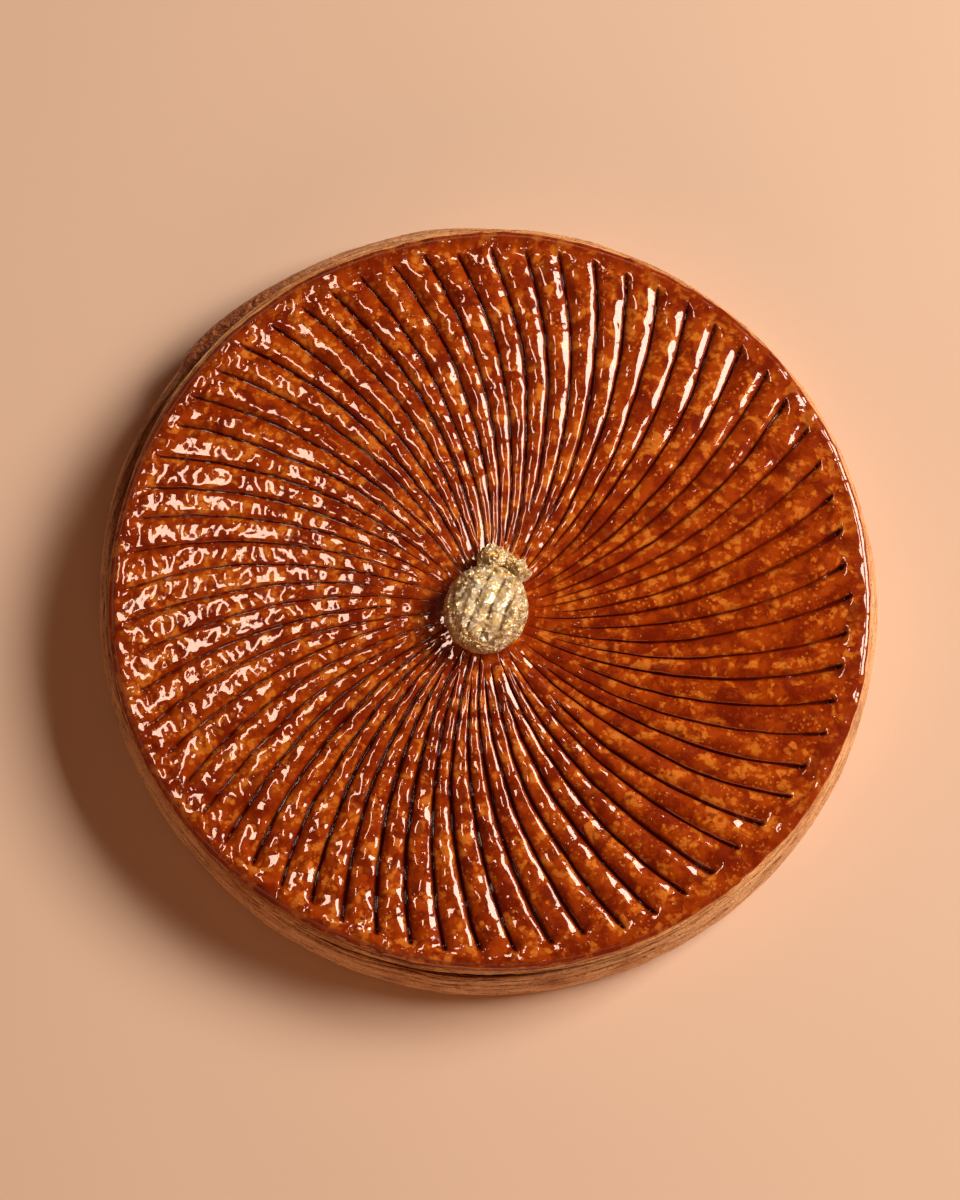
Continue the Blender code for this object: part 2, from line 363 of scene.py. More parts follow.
def layer_material(name, crest, body, gap):
    """Baked puff pastry seen from its side: thin leaves, paler on their edges, with painted shade between
    them.
    """
    s = Shader(name, Roughness=0.6, IOR=1.45)
    place = s.node("ShaderNodeSeparateXYZ", {"Vector": s.place}).outputs
    along = s.node("ShaderNodeCombineXYZ", {"X": s.maths("MULTIPLY", place["X"], 110.0),
                                            "Y": s.maths("MULTIPLY", place["Y"], 110.0),
                                            "Z": s.maths("MULTIPLY", s.attribute("layer"), 1.25)}).outputs[0]
    streaks = s.noise(1.0, 5.0, 0.75, 0.0, along)
    broad = s.noise(0.4, 3.0, 0.6, 0.0, along)
    colour = s.blend(s.between(broad, 0.36, 0.62), body, crest)
    colour = s.blend(s.between(streaks, 0.50, 0.60, 0.0, 0.75), colour, crest)
    # Painted shade: dark lines between the leaves, and small dark pits
    colour = s.blend(s.between(streaks, 0.46, 0.34, 0.0, 0.50), colour, gap)
    crumbs = s.noise(1100.0, 3.0, 0.7)
    colour = s.blend(s.between(crumbs, 0.44, 0.34, 0.0, 0.6), colour, gap)
    colour = s.blend(s.between(crumbs, 0.55, 0.64, 0.0, 0.8), colour, crest)
    toasted = s.between(s.noise(42.0, 3.0, 0.6), 0.50, 0.68, 0.0, 0.55)
    colour = s.blend(toasted, colour, PASTRY_TOASTED)
    # Painted shade between the leaves, in the seam and under the overhang
    colour = s.blend(s.between(s.attribute("gap"), 0.15, 0.9, 0.0, 0.92), colour, gap)
    lighter = s.between(s.noise(640.0, 4.0), 0.44, 0.62)
    knobs = s.blend(lighter, KNOB_DARK, KNOB_LIGHT)
    colour = s.blend(s.attribute("glazed"), colour, knobs)
    s.out("Base Color", colour)
    s.out("Roughness", s.between(s.attribute("glazed"), 0.1, 0.9, 0.62, 0.14))
    knobbly = s.maths("MULTIPLY", s.noise(430.0, 3.0), s.maths("MULTIPLY", s.attribute("glazed"), 4.0))
    height = s.maths("ADD", s.maths("ADD", streaks, crumbs), knobbly)
    s.out("Normal", s.relief(height, PASTRY_RELIEF))
    return s.material


def gold_material():
    """Crumpled gold leaf: pale, in three sizes of flat facets, with painted shade along its creases and
    painted shade and dark reflection in its hollows.
    """
    s = Shader("gold_leaf", Metallic=0.28, Roughness=0.25)
    paler = s.between(s.noise(420.0, 3.0, 0.6), 0.40, 0.58)
    colour = s.blend(paler, LEAF_WARM, LEAF_PALE)
    pushed = s.warped(0.0016, 500.0)
    # Painted shade along the leaf's creases
    crease_shade = s.maths("MULTIPLY", s.between(s.cells(520.0, 1.0, "DISTANCE_TO_EDGE", pushed), 0.07, 0.0),
                     s.attribute("crumpled"))
    colour = s.blend(s.maths("MULTIPLY", crease_shade, 0.75), colour, LEAF_CREASE_SHADE)
    worn = s.between(s.noise(480.0, 4.0, 0.7), 0.54, 0.61, 0.0, 0.80)
    colour = s.blend(s.maths("MULTIPLY", worn, s.attribute("crumpled")), colour, LEAF_WORN)
    # Painted shade and dark reflection in the hollows between the nut's ridges
    colour = s.blend(s.attribute("hollow_shade"), colour, LEAF_HOLLOW_SHADE)
    s.out("Base Color", colour)
    s.out("Roughness", s.between(s.noise(700.0, 2.0), 0.35, 0.65, 0.16, 0.34))
    sharp = s.maths("MULTIPLY_ADD", s.attribute("crumpled"), 1.1, 0.35)
    broad = s.maths("MULTIPLY", s.facets(270.0, pushed), 0.7)
    height = s.maths("MULTIPLY_ADD", s.facets(520.0, pushed), sharp, broad)
    height = s.maths("MULTIPLY_ADD", s.facets(1150.0, pushed), s.attribute("crumpled"), height)
    s.out("Normal", s.relief(height, 1.0))
    return s.material


def nut_material():
    """The nut's own amber skin, which shows under the leaf's torn lower edge."""
    s = Shader("nut_skin", Roughness=0.35, IOR=1.5, Coat_Weight=0.3, Coat_Roughness=0.15)
    skin = s.between(s.noise(420.0, 3.0, 0.6), 0.38, 0.62)
    s.out("Base Color", s.blend(skin, SKIN_DARK, SKIN_LIGHT))
    s.out("Normal", s.relief(s.noise(900.0, 3.0, 0.6), SKIN_RELIEF))
    return s.material


def floor_material():
    s = Shader("plain_floor", Roughness=0.85)
    shade = s.between(s.noise(3.0, 2.0), 0.3, 0.7)
    s.out("Base Color", s.blend(shade, FLOOR_DARK, FLOOR_LIGHT))
    return s.material


# ---------------------------------------------------------------- scored and glazed top

def groove_angle(index):
    even = TURN * index / GROOVES
    return even - SPACING_DRIFT * np.sin(even - TIGHT_SIDE)


def reach(angle, radius):
    """Distance from the score centre, along angle, to a circle about the disc's middle."""
    along = SCORE_X * np.cos(angle) + SCORE_Y * np.sin(angle)
    return np.sqrt(along ** 2 - SCORE_X ** 2 - SCORE_Y ** 2 + radius ** 2) - along


def border(angle):
    front = BORDER_FRONT * bump(angle, FRONT_SIDE, math.radians(80))
    back = BORDER_BACK * bump(angle, BACK_SIDE, math.radians(40))
    return BORDER + front + back


def scatter(index, seed):
    """One repeatable value from -1 to 1 for each scored line."""
    whole = np.asarray(index % GROOVES, np.int64)
    return lattice(whole, whole * 0, whole * 0, seed)


def dome(x, y):
    fraction = np.hypot(x, y) / GLAZE_RADIUS
    return CENTRE_HEIGHT - (CENTRE_HEIGHT - RIM_HEIGHT) * fraction ** 2.4


def groove_end(index):
    """Radius at which one scored line ends."""
    rim_angle = groove_angle(index % GROOVES)
    return reach(rim_angle, GLAZE_RADIUS) - border(rim_angle) + 1.1 * MM * scatter(index, 5)


def groove_strength(index, radius):
    """How open one scored line is, from 0 to 1, at each radius."""
    long_start = (12.5 + 3.0 * scatter(index, 3)) * MM
    short_start = (27.0 + 9.0 * scatter(index, 4)) * MM
    start = np.where(index % 2 == 0, long_start, short_start)
    end = groove_end(index)
    return smooth(start, start + 10.0 * MM, radius) * (1.0 - smooth(end - 2.2 * MM, end, radius))


def groove_wander(index, radius):
    """Sideways drift of one scored line, in metres."""
    line = index % GROOVES
    slow = 0.60 * MM * noise(radius / 0.030, line * 5.31, 0.0, 11)
    quick = 0.20 * MM * noise(radius / 0.006, line * 3.17, 0.0, 12)
    return slow + quick


# Side, half width, and millimetres that the glaze's edge stands out there
UNEVEN_EDGE = ((5, 62, 1.0), (75, 40, -0.6), (105, 22, -1.0), (130, 46, -1.3),
               (197, 36, 0.8), (257, 32, -0.7), (306, 32, 0.5), (336, 34, 1.3))


def glaze_edge(angle):
    """Radius of the glaze's edge, which isn't quite round."""
    edge = GLAZE_RADIUS + 0.25 * MM * noise(9 * np.cos(angle), 9 * np.sin(angle), 0.0, 14)
    for side, half_width, out in UNEVEN_EDGE:
        edge = edge + out * MM * bump(angle, math.radians(side), math.radians(half_width))
    return edge


# Where the points stand across one strip, from one cut to the next: closer together near the cuts
ACROSS = np.array([0.0, 0.022, 0.045, 0.075, 0.115, 0.17, 0.245, 0.35,
                   0.5, 0.65, 0.755, 0.83, 0.885, 0.925, 0.955, 0.978])
MIDDLE = 9.0 * MM                       # radius, under the nut, at which the rings start


def facing(rim_angle):
    """How much each strip belongs to the front, right, left and back right, from 0 to 1."""
    return (bump(rim_angle, FRONT_SIDE, math.radians(75)),
            bump(rim_angle, 0.0, math.radians(80)),
            bump(rim_angle, math.pi, math.radians(70)),
            bump(rim_angle, math.radians(55), math.radians(60)))


def cut_profile(line, strength, away, pitch, short, rim_angle, radius):
    """How far one scored line lowers its strip, how much pooled glaze and painted shade it puts in its cut,
    and how much on its shoulders.
    """
    open_front, right, left_side, back_right = facing(rim_angle)
    ragged = 1.0 + 0.30 * noise(radius / 0.0032, (line % GROOVES) * 2.7, 0.0, 13)
    near_middle = np.minimum(1.0, radius / 0.060)
    slot = right * smooth(11 * MM, 4 * MM, groove_end(line) - radius)
    width = CUT_HALF_WIDTH * (1.0 + 0.25 * scatter(line, 6)) * near_middle * ragged
    width = width * (1.0 + 0.60 * open_front - 0.30 * right - 0.35 * left_side + 0.9 * slot)
    depth = CUT_DEPTH * (1.0 + 0.20 * scatter(line, 7)) * near_middle * (1.0 - 0.45 * left_side)
    round_over = np.minimum(SHOULDER * (1.0 + 0.2 * scatter(line, 9)), 0.44 * pitch * (2.0 - short))
    round_over = round_over * (1.0 + 0.32 * noise(radius / 0.0055, (line % GROOVES) * 1.9, 0.0, 15))
    round_over = round_over * (1.0 - 0.55 * left_side - 0.18 * back_right)
    rounding = np.clip(1.0 - away / round_over, 0.0, 1.0)
    fall = np.clip(1.0 - away / width, 0.0, 1.0)
    bent = np.where(rounding < KNEE, 0.5 * rounding ** 2 / KNEE, rounding - 0.5 * KNEE)
    lowered = strength * (SHOULDER_SLOPE * round_over * bent + depth * fall ** 1.3)
    # Pooled glaze and painted shade in the cut, weighted up at the front and in the wide slots at the
    # right's cut ends
    shade_weight = 0.55 + 0.45 * np.maximum(open_front, slot)
    darkened = shade_weight * smooth(0.0, 0.25, strength) * smooth(0.1, 0.7, fall)
    # Pooled glaze and painted shade on the rounded shoulder next to the cut
    pooled = smooth(0.0, 0.5, strength) * smooth(0.45, 0.95, rounding)
    return lowered, darkened, pooled


def scored_surface():
    """Rings of points over the glazed top, and what the glaze's colour and relief need at each."""
    index = np.repeat(np.arange(GROOVES), len(ACROSS))[None, :]
    across = np.tile(ACROSS, GROOVES)[None, :]
    first, following = groove_angle(index), groove_angle(index + 1)
    rim_angle = first + across * (following - first)
    coarse = np.linspace(0.0, 0.80, 52, endpoint=False)
    fine = np.linspace(0.80, 1.0, 34)
    outward = np.concatenate([coarse, fine])[:, None]
    radius = MIDDLE + outward * (reach(rim_angle, glaze_edge(rim_angle)) - MIDDLE)

    wander = (1.0 - across) * groove_wander(index, radius) + across * groove_wander(index + 1, radius)
    wander = wander * smooth(0.0, 0.05, 1.0 - outward) * np.minimum(1.0, radius / 0.05)
    angle = rim_angle - SWIRL_RATE * (GLAZE_RADIUS - radius) + wander / radius
    x = SCORE_X + radius * np.cos(angle)
    y = SCORE_Y + radius * np.sin(angle)

    slant = 1.0 / np.sqrt(1.0 + (SWIRL_RATE * radius) ** 2)
    pitch = radius * (following - first) * slant
    here, there = groove_strength(index, radius), groove_strength(index + 1, radius)
    short = np.where(index % 2 == 0, there, here)
    open_front, right = facing(rim_angle)[:2]
    cuts = ((index, here, across * pitch), (index + 1, there, (1 - across) * pitch))
    drop, dark, shoulder_pool_and_shade = 0.0, 0.0, 0.0
    for line, strength, away in cuts:
        lowered, darkened, pooled = cut_profile(line, strength, away, pitch, short, rim_angle, radius)
        drop = drop + lowered
        dark = dark + darkened
        shoulder_pool_and_shade = shoulder_pool_and_shade + pooled

    lean = 0.05 * pitch * scatter(index, 8) * (across - 0.5) * 4.0 * across * (1.0 - across)
    z = dome(x, y) + lean * np.maximum(here, there) - drop

    # Uneven pastry under the glaze, knobbly ends, and a shallow trough where the front cuts end
    left = 1.0 - 0.55 * smooth(-0.03, 0.07, x)
    from_edge = (1.0 - outward) * radius
    ends = 1.0 - smooth(4.0 * MM, 9.0 * MM, from_edge)
    lumps = rough(x / 0.0046, y / 0.0046, 0.0, 21, 2)
    front = bump(angle, FRONT_SIDE, math.radians(75))
    trough = np.exp(-((from_edge - 4.6 * MM) / (1.3 * MM)) ** 2) * front
    z = z + (0.11 * left + 0.20 * ends) * MM * lumps + 0.25 * MM * noise(x / 0.028, y / 0.028, 0.0, 22)
    z = z - 0.40 * MM * trough * (0.7 + 0.5 * noise(angle * 16, 0.0, 0.0, 23))
    z = z - 0.16 * MM * np.clip(1.0 - from_edge / (1.3 * MM), 0.0, 1.0) ** 2

    rings = np.stack([x, y, z], axis=-1)
    dark = np.clip(dark, 0.0, 1.0)
    # The first two facts carry pooled glaze and painted shade, in the cuts and on their shoulders
    facts = {"cut_pool_and_shade": dark,
             "shoulder_pool_and_shade": 0.55 * np.clip(shoulder_pool_and_shade, 0.0, 1.0),
             "edge": (0.5 - 0.4 * front) * (1.0 - smooth(0.5 * MM, 5.0 * MM, from_edge)),
             "lumpy": (left * (1.0 + 0.5 * open_front) + 0.3 * ends) * (1.0 - 0.8 * dark),
             "ends": ends * np.maximum(front, right) * smooth(1 * MM, 3 * MM, from_edge)}
    return rings, facts


# Distance out and down, in millimetres, over the glaze's rounded lip
LIP = ((0.45, 0.17), (1.00, 0.39), (1.50, 0.61), (1.68, 0.85), (1.76, 1.15), (1.80, 1.50))
GLAZE_UNDERSIDE = 28.2 * MM


def make_glazed_top(material):
    rings, facts = scored_surface()
    rim = rings[-1]
    angle = np.arctan2(rim[:, 1], rim[:, 0])
    radius, height = np.hypot(rim[:, 0], rim[:, 1]), rim[:, 2]
    beads = 0.22 * MM * rough(np.cos(angle) * 36, np.sin(angle) * 36, 0.0, 32, 2)
    sides = []
    for out, down in LIP:
        share = out / LIP[-1][0]
        sides.append((radius + out * MM + share * beads, height - down * MM - 0.3 * share * beads))
    lip_radius, lip_height = sides[-1]
    sides.append((lip_radius - 0.3 * MM, lip_height - 0.35 * MM))
    sides.append((radius - 1.0 * MM, 0.0 * height + GLAZE_UNDERSIDE))
    sides.append((0.5 * radius, 0.0 * height + GLAZE_UNDERSIDE))
    extra = [np.stack([r * np.cos(angle), r * np.sin(angle), z], axis=-1) for r, z in sides]
    rings = np.concatenate([rings, np.stack(extra)])
    ends = {"cut_pool_and_shade": 0.0, "shoulder_pool_and_shade": 0.0, "edge": 0.5, "lumpy": 0.3, "ends": 0.0}
    facts = {key: np.concatenate([values, np.full((len(extra), rings.shape[1]), ends[key])])
             for key, values in facts.items()}
    piece = closed_rings("glazed_top", rings, material, facts)
    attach(piece, "root")
    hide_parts("upper_crust")
    return piece


# ---------------------------------------------------------------- layered sides

COLUMNS = 1000
SHEET = 2.7                             # leaves in each thicker sheet
UPPER_LEAF = 0.85 * MM
LOWER_LEAF = 1.0 * MM
CORE_INNER = 0.06                       # radii of the flat rings that close the layers inside
CORE_OUTER = 0.115

# Side, half width, and millimetres that the upper layers stand out there
UPPER_UNEVEN = ((105, 26, -1.1), (165, 62, -1.0), (262, 48, -0.6), (330, 56, 0.9))


def profile(points, rows):
    """Radius and height along a side given by a few (radius, height) points, rounded off."""
    points = np.asarray(points, float)
    dense = np.linspace(0.0, 1.0, 401)
    kernel = np.hanning(57)
    kernel /= kernel.sum()
    made = []
    for axis in (0, 1):
        line = np.interp(dense, np.linspace(0.0, 1.0, len(points)), points[:, axis])
        line = np.convolve(np.pad(line, 28, mode="edge"), kernel, mode="valid")
        made.append(np.interp(rows, dense, line)[:, None])
    return made


def leaved(angle, radius, height, where, leaf, seed):
    """Splits a side into thin leaves and thicker sheets, which stand out unevenly, with painted shade
    between them.
    """
    out_r, down_z = np.gradient(radius, axis=0), np.gradient(height, axis=0)
    length = np.hypot(out_r, down_z)
    path = np.cumsum(length, axis=0)
    cx, cy = np.cos(angle), np.sin(angle)
    path = path + 0.40 * MM * noise(cx * 6, cy * 6, path / (8 * MM), seed)
    path = path + 0.15 * MM * noise(cx * 23, cy * 23, path / (4 * MM), seed + 1)
    number = np.floor(path / leaf)
    inside = np.abs(path / leaf - number - 0.5) * 2.0
    stands = noise(cx * 11, cy * 11, number * 7.1, seed + 2)
    chipped = noise(cx * 55, cy * 55, number * 5.3, seed + 3)
    grain = rough(cx * 150, cy * 150, path / (0.5 * MM), seed + 4, 2)
    offset = 0.24 * (1.0 - inside ** 2.5) + 0.22 * stands + 0.12 * chipped + 0.05 * grain - 0.3
    thick = path / (SHEET * leaf) + 0.35 * noise(cx * 9, cy * 9, 0.0, seed + 6)
    sheet = np.floor(thick)
    between = np.abs(thick - sheet - 0.5) * 2.0
    proud = noise(cx * 7, cy * 7, sheet * 3.7, seed + 7)
    offset = offset + (0.45 + 0.25 * proud) * (1.0 - between ** 4) - 0.35
    offset = offset * MM * where
    # Painted shade between the leaves and between the sheets, and over sheets that sit back
    leaf_gap_shade = inside ** 3 * (0.60 + 0.4 * chipped)
    sheet_gap_shade = between ** 7 * (0.8 + 0.5 * proud)
    gap = leaf_gap_shade + sheet_gap_shade + 0.25 * np.clip(-proud, 0, 1)
    gap = np.clip(gap, 0.0, 1.0) * where
    radius = radius - offset * down_z / length
    height = height + offset * out_r / length
    return radius, height, gap, path / MM


def ring_stack(angle, radius, height):
    x, y = radius * np.cos(angle), radius * np.sin(angle)
    return np.stack([x, y, height + 0.0 * x], axis=-1)


def make_upper_layers(material):
    angle = np.linspace(0.0, TURN, COLUMNS, endpoint=False)[None, :]
    rows = np.linspace(0.0, 1.0, 62)
    radius, height = profile([
        (GLAZE_RADIUS - 2.6 * MM, GLAZE_UNDERSIDE), (GLAZE_RADIUS - 0.6 * MM, RIM_HEIGHT - 1.7 * MM),
        (GLAZE_RADIUS + 1.3 * MM, RIM_HEIGHT - 1.5 * MM), (UPPER_RADIUS - 0.4 * MM, RIM_HEIGHT - 2.7 * MM),
        (UPPER_RADIUS, RIM_HEIGHT - 4.8 * MM), (UPPER_RADIUS - 1.0 * MM, RIM_HEIGHT - 8.0 * MM),
        (UPPER_RADIUS - 2.4 * MM, UPPER_BOTTOM + 3.0 * MM), (UPPER_RADIUS - 3.6 * MM, UPPER_BOTTOM)], rows)
    where = (smooth(0.04, 0.14, rows) * (1.0 - smooth(0.94, 1.0, rows)))[:, None]
    reaching = 0.35 * noise(np.cos(angle) * 4, np.sin(angle) * 4, 0.0, 45)
    for side, half_width, out in UPPER_UNEVEN:
        reaching = reaching + out * bump(angle, math.radians(side), math.radians(half_width))
    radius = radius + reaching * MM * where
    bare = (smooth(0.24, 0.36, rows) * (1.0 - smooth(0.94, 1.0, rows)))[:, None]
    radius, height, gap, layer = leaved(angle, radius, height + 0.0 * angle, bare, UPPER_LEAF, 41)
    # Painted shade over the lower rows, which tuck in under the overhang
    gap = np.maximum(gap, smooth(0.60, 0.80, rows)[:, None])
    inner = ring_stack(angle, np.array([[CORE_INNER], [CORE_OUTER]]), GLAZE_UNDERSIDE)
    under = ring_stack(angle, np.array([[CORE_OUTER], [CORE_INNER]]), UPPER_BOTTOM)
    rings = np.concatenate([inner, ring_stack(angle, radius, height), under])
    flat = np.zeros((2, COLUMNS))
    facts = {"gap": np.concatenate([flat, gap, flat]), "glazed": np.zeros(rings.shape[:2]),
             "layer": np.concatenate([flat, layer, flat + layer[-1]])}
    piece = closed_rings("upper_layers", rings, material, facts)
    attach(piece, "root")
    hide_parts("upper_crust")
    return piece


def make_lower_layers(material):
    angle = np.linspace(0.0, TURN, COLUMNS, endpoint=False)[None, :]
    rows = np.linspace(0.0, 1.0, 82)
    lip = UPPER_RADIUS - 1.7 * MM
    foot = [(LOWER_RADIUS - 0.5 * MM, BASE + 2.2 * MM), (LOWER_RADIUS - 1.5 * MM, BASE + 0.5 * MM),
            (LOWER_RADIUS - 3.0 * MM, BASE)]
    plain = [(lip, SEAM), (lip + 0.3 * MM, SEAM + 2.2 * MM), (lip + 1.2 * MM, SEAM + 4.0 * MM),
             (LOWER_RADIUS - 2.6 * MM, SEAM + 2.6 * MM), (LOWER_RADIUS - 0.9 * MM, SEAM - 1.2 * MM),
             (LOWER_RADIUS - 0.1 * MM, SEAM - 6.0 * MM), (LOWER_RADIUS, SEAM - 10.5 * MM)] + foot
    opened = [(lip, SEAM - 1.0 * MM), (lip + 1.0 * MM, SEAM - 5.0 * MM), (lip + 2.4 * MM, SEAM - 4.0 * MM),
              (LOWER_RADIUS - 0.4 * MM, SEAM - 0.2 * MM), (LOWER_RADIUS + 1.5 * MM, SEAM - 1.2 * MM),
              (LOWER_RADIUS + 1.9 * MM, SEAM - 6.0 * MM), (LOWER_RADIUS + 1.0 * MM, SEAM - 10.5 * MM)] + foot
    curled = [(lip, SEAM - 0.5 * MM), (lip + 1.2 * MM, SEAM - 1.2 * MM), (lip + 2.4 * MM, SEAM + 1.6 * MM),
              (LOWER_RADIUS + 1.4 * MM, SEAM + 2.4 * MM), (LOWER_RADIUS + 3.3 * MM, SEAM - 0.6 * MM),
              (LOWER_RADIUS + 3.3 * MM, SEAM - 5.5 * MM), (LOWER_RADIUS + 1.6 * MM, SEAM - 10.5 * MM)] + foot

    # Where, in degrees round the pie, the fold curls out and is browned, and the seam gapes
    degrees = np.degrees(angle)
    fold_end = 1.0 - smooth(140, 143.5, degrees)
    curl = (0.35 * smooth(84, 98, degrees) + 0.65 * smooth(108, 137, degrees)) * fold_end
    browned = (0.35 * smooth(84, 98, degrees) + 0.65 * smooth(114, 130, degrees)) * fold_end
    opening = smooth(140, 144, degrees) * (1.0 - smooth(156, 182, degrees))
    shares = (1.0 - curl - opening, opening, curl)
    shapes = [profile(points, rows) for points in (plain, opened, curled)]
    radius = sum(shape[0] * share for shape, share in zip(shapes, shares))
    height = sum(shape[1] * share for shape, share in zip(shapes, shares))
    where = (smooth(0.06, 0.18, rows) * (1.0 - smooth(0.93, 1.0, rows)))[:, None]
    flattened = -1.4 * MM * bump(angle, math.radians(214), math.radians(38))
    uneven = 0.35 * MM * noise(np.cos(angle) * 3, np.sin(angle) * 3, 0.0, 54)
    radius = radius + where * (flattened + uneven)

    knobs = browned * (smooth(0.08, 0.16, rows) * (1.0 - smooth(0.46, 0.60, rows)))[:, None]
    at = (radius * np.cos(angle) / (2.2 * MM), radius * np.sin(angle) / (2.2 * MM), height / (2.2 * MM))
    lumps = rough(*at, 55, 3)
    radius = radius + 0.14 * MM * knobs * lumps
    height = height + 0.16 * MM * knobs * lumps
    radius, height, gap, layer = leaved(angle, radius, height, where * (1.0 - 0.6 * knobs), LOWER_LEAF, 51)

    def disc(distances, level, relief):
        made = []
        for distance in distances:
            x, y = distance * np.cos(angle[0]), distance * np.sin(angle[0])
            uneven = relief * (1.6 + rough(x / 0.007, y / 0.007, 0.0, 57))
            made.append(np.stack([x, y, level + uneven], axis=-1))
        return np.stack(made)

    top = disc((CORE_INNER, lip - 3 * MM), SEAM, 0.0)
    under = disc(np.linspace(LOWER_RADIUS - 6 * MM, 4 * MM, 12), BASE, 0.12 * MM)
    side = ring_stack(angle, radius, np.maximum(height, BASE))
    rings = np.concatenate([top, side, under])
    # Painted shade: in the crevice under the upper disc, in the seam where it gapes, and over the hidden top
    # of the lower disc
    crevice_shade = (1.0 - smooth(0.07, 0.15, rows))[:, None] + 0.0 * angle
    seam_gap_shade = opening * (smooth(0.02, 0.10, rows) * (1.0 - smooth(0.16, 0.27, rows)))[:, None]
    above, below = np.zeros((len(top), COLUMNS)), np.zeros((len(under), COLUMNS))
    facts = {"gap": np.concatenate([above + 1.0, np.clip(gap + crevice_shade + seam_gap_shade, 0.0, 1.0), below]),
             "layer": np.concatenate([above, layer, below + layer[-1]]),
             "glazed": np.concatenate([above, 0.9 * knobs + 0.0 * radius, below])}
    piece = closed_rings("lower_layers", rings, material, facts)
    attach(piece, "root")
    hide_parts("lower_crust")
    return piece


# ---------------------------------------------------------------- gilded nut

NUT_TURN = math.radians(-16)
NUT_X = 13.6 * MM                       # half the nut's width, and below half its length
NUT_Y = 14.8 * MM
NUT_TALL = nut_high.z - nut_low.z
NUT_WRAP = math.radians(125)            # how far its surface goes round, from the top
RIDGE_LEAN = math.radians(66)
RIDGE_PITCH = 5.1 * MM
RIDGE_HEIGHT = 1.35 * MM

# Size, height and seed of the leaf's finer folds
LEAF_FOLDS = ((1.5 * MM, 0.50 * MM, 64), (0.75 * MM, 0.30 * MM, 65))


def nut_surface(down, around, swell, crumple):
    """Points of the oval nut, how crumpled each is, and how much painted shade and dark reflection lies
    between its ridges.

    down runs from 0 at the top to 1 under it, and around is an angle.
    """
    tilt = down * NUT_WRAP
    below = np.maximum(tilt - 0.5 * math.pi, 0.0)
    wide = np.where(below > 0.0, 1.0 - 0.45 * below ** 1.3, np.sin(np.minimum(tilt, 0.5 * math.pi)) ** 0.78)
    waist = 0.34 * NUT_TALL
    above_waist = (NUT_TALL - waist) * np.abs(np.cos(tilt)) ** 0.9
    tall = np.where(below > 0.0, 1.75 * waist * np.cos(tilt), above_waist)
    x = (NUT_X + swell) * wide * np.cos(around)
    y = (NUT_Y + swell) * wide * np.sin(around)
    z = NUT_BASE + waist + tall + swell

    # Slanting ridges on the top, and a raised rim round them
    lean = RIDGE_LEAN - NUT_TURN
    cross = x * math.sin(lean) - y * math.cos(lean)
    along = x * math.cos(lean) + y * math.sin(lean)
    on_top = 1.0 - smooth(0.60, 0.84, wide)
    bent = cross + 0.45 * MM * np.sin(along / (3.4 * MM) + 0.8)
    length = 0.72 + 0.28 * np.cos(TURN * along / (14.0 * MM) + 0.7 * cross / (5.0 * MM))
    phase = bent / RIDGE_PITCH + 0.08
    ridge = 1.0 - np.sqrt((2.0 * np.abs(phase - np.round(phase))) ** 2 + 0.02)
    z = z + RIDGE_HEIGHT * on_top * length * (ridge - 0.45)
    # Painted shade and dark reflection in the hollows between the ridges, in patches
    patchy = smooth(-0.5, 0.3, noise(along / (3.0 * MM), cross / (3.0 * MM), 0.0, 67))
    hollow_shade = 0.9 * on_top * smooth(0.34, 0.08, ridge) * patchy
    upper = np.where(below > 0.0, 0.0, 1.0)
    rim = np.exp(-((wide - 0.92) / 0.04) ** 2) - np.exp(-((wide - 0.80) / 0.05) ** 2)
    z = z + 0.50 * MM * rim * upper * (0.7 + 0.4 * noise(np.cos(around) * 3, np.sin(around) * 3, 0.0, 62))
    if crumple:
        outer = smooth(0.55, 0.9, wide)
        fold = 0.45 * MM * (creased(x / (2.4 * MM), y / (2.4 * MM), z / (2.4 * MM), 63) - 0.6)
        for size, height, seed in LEAF_FOLDS:
            fold = fold + outer * height * (creased(x / size, y / size, z / size, seed) - 0.6)
        x = x + 0.8 * fold * np.cos(around) * wide
        y = y + 0.8 * fold * np.sin(around) * wide
        z = z + fold * (0.45 + 0.55 * (1.0 - wide ** 4))
    turned_x = x * math.cos(NUT_TURN) - y * math.sin(NUT_TURN)
    turned_y = x * math.sin(NUT_TURN) + y * math.cos(NUT_TURN)
    points = np.stack([SCORE_X + turned_x, SCORE_Y + turned_y, np.maximum(z, NUT_BASE)], axis=-1)
    return points, smooth(0.45, 0.85, wide) + 0.0 * around, hollow_shade


def make_nut(skin):
    around = np.linspace(0.0, TURN, 120, endpoint=False)[None, :]
    down = np.linspace(0.0, 1.0, 44)[1:, None]
    piece = closed_rings("nut_kernel", nut_surface(down, around, -0.4 * MM, False)[0], skin)
    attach(piece, "root")
    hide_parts("gilded_nut")
    return piece


def foil(name, points, keep, facts, material, thickness):
    """A thin closed sheet through a grid of points, without the parts that keep leaves out."""
    rows, columns = points.shape[:2]
    i, j = np.meshgrid(np.arange(rows - 1), np.arange(columns - 1), indexing="ij")
    corner = i * columns + j
    quads = np.stack((corner, corner + columns, corner + columns + 1, corner + 1), axis=-1)
    faces = quads[keep[:-1, :-1] & keep[1:, 1:] & keep[1:, :-1] & keep[:-1, 1:]]
    used, renumbered = np.unique(faces, return_inverse=True)
    facts = {key: values.reshape(-1)[used] for key, values in facts.items()}
    faces = renumbered.reshape(faces.shape).tolist()
    sheet = finish_mesh(name, points.reshape(-1, 3)[used].tolist(), faces, material, facts)
    solid = sheet.modifiers.new("thickness", "SOLIDIFY")
    solid.thickness = thickness
    solid.offset = 0.0
    return sheet


